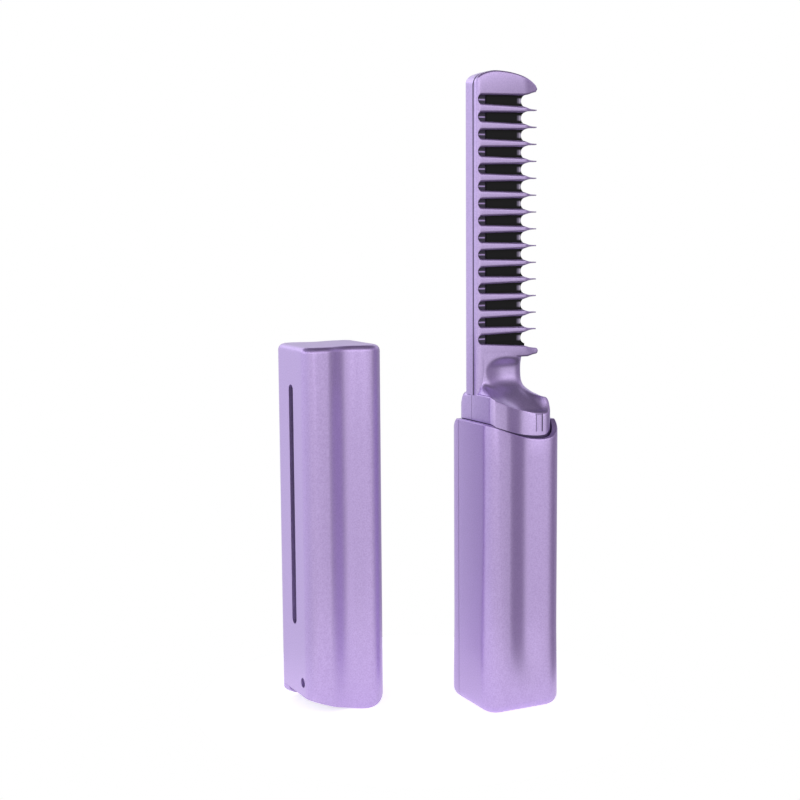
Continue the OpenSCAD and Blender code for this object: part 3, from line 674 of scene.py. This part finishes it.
def cap_rings():
    """Down inside, over the open edge, up the outside and over the rounded top, in its place on the comb."""
    rings = [at_z(section(WALL), CAP_TOP_Z - WALL), at_z(section(WALL), HANDLE_H + 2),
             at_edge(section(WALL), CAP_BEVEL), at_edge(section(WALL - CAP_BEVEL), 0)]
    rings += [at_edge(section(RIM_R * (1 - math.sin(a))), RIM_R * (1 - math.cos(a))) for a in quarter(4)]
    rings += [at_z(section(), CAP_BODY_Z + i * (CAP_TOP_Z - CAP_END_R - CAP_BODY_Z) / 4) for i in range(5)]
    rings += [at_z(section(CAP_END_R * (1 - math.cos(a))), CAP_TOP_Z - CAP_END_R * (1 - math.sin(a)))
              for a in quarter(8)[1:]]
    return rings


def parked(point):
    """From the cap's place on the comb to where it stands: half a turn and down."""
    x, y, z = point
    return (CAP_AT[0] - x, CAP_AT[1] - y, z + EDGE_DIP - HANDLE_H)


def parked_rings(rings):
    return [[parked(p) for p in ring] for ring in rings]


cap = new_piece("cap_skin", lofted(parked_rings(cap_rings())))
slot_outline = [(b + SLOT_Y, a + SLOT_Z + SLOT_LEN / 2) for a, b in capsule(SLOT_LEN, SLOT_W, 16)]
slot_cut = lofted(parked_rings([[(x, y, z) for y, z in slot_outline] for x in (-HALF_W - 1, -HALF_W + 4)]))
cutters = [new_piece("slot", slot_cut)]
for side in (-1, 1):
    rings = [[(side * x, SNAP_Y + SNAP_R * math.cos(a), SNAP_Z + SNAP_R * math.sin(a)) for a in circle(32)]
             for x in (HALF_W - 4, HALF_W + 1)]
    cutters.append(new_piece("snap_hole", lofted(parked_rings(rings))))
carve(cap, cutters)
dress(cap, LILAC, "cap", "cap", "cap_shell")


# ---- Button with a power symbol ----
def face_y(x):
    return -HALF_D + groove(x) + 0.12


def face_ring(r, back, steps=64):
    """Ring about the button's axis that follows the handle's wavy face, moved back by a distance."""
    return [(BUTTON_X + max(r, 0.01) * math.cos(a), face_y(BUTTON_X + r * math.cos(a)) + back,
             BUTTON_Z + max(r, 0.01) * math.sin(a)) for a in circle(steps)]


# Radius, and how far behind the face
BUTTON_PROFILE = [(0.0, 0.0), (1.2, 0.0), (2.4, 0.0), (3.4, 0.0), (BUTTON_R - 0.3, 0.02),
                  (BUTTON_R - 0.08, 0.1), (BUTTON_R, 0.3)]
GAP_SHADE_PROFILE = [(BUTTON_R + 0.03, 0.9), (BUTTON_R + 0.03, 0.3), (BUTTON_R + 0.6, 0.3), (BUTTON_R + 0.6, 0.9),
                (BUTTON_R + 0.03, 0.9)]
button_rings = [face_ring(r, back) for r, back in BUTTON_PROFILE]
button_rings.append([(x, BUTTON_BACK_Y, z) for x, y, z in button_rings[-1]])
dress(new_piece("power_button_skin", lofted(button_rings)), LILAC, "button", "button", "power_button")
# Dark ring painted as the shade in the gap round the button
gap_shade = lofted([face_ring(r, back) for r, back in GAP_SHADE_PROFILE], False)
dress(new_piece("button_gap_shade", gap_shade), SHADE, "handle", "housing")


def printed(name, path, width):
    """Thin printed stroke on the button's face."""
    rows = []
    for i, (x, z) in enumerate(path):
        ax, az = path[max(i - 1, 0)]
        bx, bz = path[min(i + 1, len(path) - 1)]
        along = Vector((bx - ax, bz - az)).normalized()
        side = Vector((-along.y, along.x)) * width / 2
        rows.append([(x + s * side.x, face_y(x + s * side.x) - 0.015, z + s * side.y) for s in (-1, 1)])
    return strip(name, rows)


ICON_R, ICON_STROKE, ICON_OPEN = 2.1, 0.34, 40
ring_path = [(BUTTON_X + ICON_R * math.sin(a), BUTTON_Z + ICON_R * math.cos(a))
             for a in (math.radians(mixed(ICON_OPEN, 360 - ICON_OPEN, i / 48)) for i in range(49))]
bar_path = [(BUTTON_X, BUTTON_Z + mixed(0.3, 2.6, i / 4)) for i in range(5)]
for name, path in (("power_ring", ring_path), ("power_bar", bar_path)):
    dress(printed(name, path, ICON_STROKE), ICON, "button", "button")


# ---- Floor, light and camera ----
FLOOR_AT, FLOOR_R = (22, -11), 65
floor_mesh = bpy.data.meshes.new("floor")
floor_rim = [Vector((FLOOR_AT[0] + FLOOR_R * math.cos(a), FLOOR_AT[1] + FLOOR_R * math.sin(a), 0)) * MM
             for a in circle(96)]
floor_mesh.from_pydata(floor_rim, [], [tuple(range(96))])
floor = bpy.data.objects.new("floor", floor_mesh)
floor.location.z = -0.2 * MM
bpy.context.scene.collection.objects.link(floor)
floor.data.materials.append(plain("pale_floor", (252, 252, 252), 0.9, emission=((255, 255, 255), 0.62)))


def tinted(v):
    """A pale grey, or a slightly violet grey where it is dark."""
    return (v, v, v, 1) if v > 0.4 else (v, v * 0.84, v * 1.12, 1)


# Brightness of the studio by compass direction, in degrees from +X towards +Y. The last two make the
# dark band along handle and cap
PANELS = [(-180, 0.5), (-150, 0.5), (-120, 0.7), (-64, 1.02), (-20, 1.05), (20, 0.95), (55, 1.0),
          (80, 0.92), (118, 1.05), (132, 0.62), (146, 0.26), (166, 0.26)]
# Brightness by height, from straight down (-1) to straight up (1)
LEVELS = [(-0.8, 0.03), (-0.55, 0.08), (-0.3, 0.48), (0.25, 0.5), (0.36, 0.95), (0.48, 0.95), (0.62, 0.2),
          (0.8, 0.06)]
STUDIO_STRENGTH = 2.2


def studio():
    """World that lights the comb by compass direction and height, and is plain white in view."""
    world = bpy.data.worlds.new("studio")
    world.use_nodes = True
    tree = world.node_tree
    tree.nodes.clear()
    place, split = add_node(tree, "TexCoord"), add_node(tree, "SeparateXYZ")
    turn = add_node(tree, "Math", operation="ARCTAN2")
    spread = ranged(tree, -math.pi, math.pi)
    panels = eased_ramp(tree, [((d + 180) / 360, tinted(v) if d > 30 else (v * 0.96, v * 0.96, v * 1.03, 1))
                               for d, v in PANELS])
    height = ranged(tree, -1, 1)
    levels = eased_ramp(tree, [((z + 1) / 2, tinted(v)) for z, v in LEVELS])
    graded = add_node(tree, "MixRGB", blend_type="MULTIPLY")
    graded.inputs["Fac"].default_value = 1.0
    lit, white = add_node(tree, "Background"), add_node(tree, "Background")
    lit.inputs["Strength"].default_value = STUDIO_STRENGTH
    white.inputs["Color"].default_value = (1, 1, 1, 1)
    white.inputs["Strength"].default_value = 1.0
    sight, choose = add_node(tree, "LightPath"), add_node(tree, "MixShader")
    out = add_node(tree, "OutputWorld")
    wire(tree, (place, "Generated", split, 0), (split, "Y", turn, 0), (split, "X", turn, 1),
         (turn, 0, spread, "Value"), (spread, "Result", panels, "Fac"), (panels, "Color", graded, "Color1"),
         (split, "Z", height, "Value"), (height, "Result", levels, "Fac"),
         (levels, "Color", graded, "Color2"), (graded, "Color", lit, "Color"),
         (sight, "Is Camera Ray", choose, "Fac"), (lit, 0, choose, 1), (white, 0, choose, 2),
         (choose, 0, out, "Surface"))
    return world


bpy.context.scene.world = studio()
AIM = Vector((0.02, -0.01, 0.09))


def softbox(name, azimuth, height, distance, size, power):
    """Large area light that looks at the middle of the comb."""
    light = bpy.data.lights.new(name, "AREA")
    light.shape = "RECTANGLE"
    light.size, light.size_y = size
    light.energy = power
    lamp = bpy.data.objects.new(name, light)
    bpy.context.scene.collection.objects.link(lamp)
    a = math.radians(azimuth)
    lamp.location = Vector((math.cos(a) * distance, math.sin(a) * distance, height))
    lamp.rotation_euler = (AIM - lamp.location).to_track_quat("-Z", "Y").to_euler()


softbox("key", 84, 0.35, 0.9, (0.25, 0.7), 0.4)
softbox("top", 60, 1.1, 0.35, (0.6, 0.6), 0.03)

TARGET = Vector((0.0270, -0.0130, 0.0880))
DISTANCE, BEARING, TILT, ROLL = 0.40, 64, 6.8, 0.42
FOCAL_PX, PHOTO_PX = 1406, 800
camera_data = bpy.data.cameras.new("camera")
camera_data.sensor_width = 36
camera_data.lens = FOCAL_PX / PHOTO_PX * camera_data.sensor_width
camera_data.clip_start = 0.01
camera = bpy.data.objects.new("camera", camera_data)
bpy.context.scene.collection.objects.link(camera)
bearing, rise = math.radians(BEARING), math.radians(TILT)
direction = Vector((math.cos(bearing) * math.cos(rise), math.sin(bearing) * math.cos(rise), math.sin(rise)))
camera.location = TARGET + direction * DISTANCE
roll = Quaternion((0, 0, 1), math.radians(-ROLL))
camera.rotation_euler = ((-direction).to_track_quat("-Z", "Y") @ roll).to_euler()
bpy.context.scene.camera = camera
bpy.context.scene.view_settings.view_transform = "Standard"
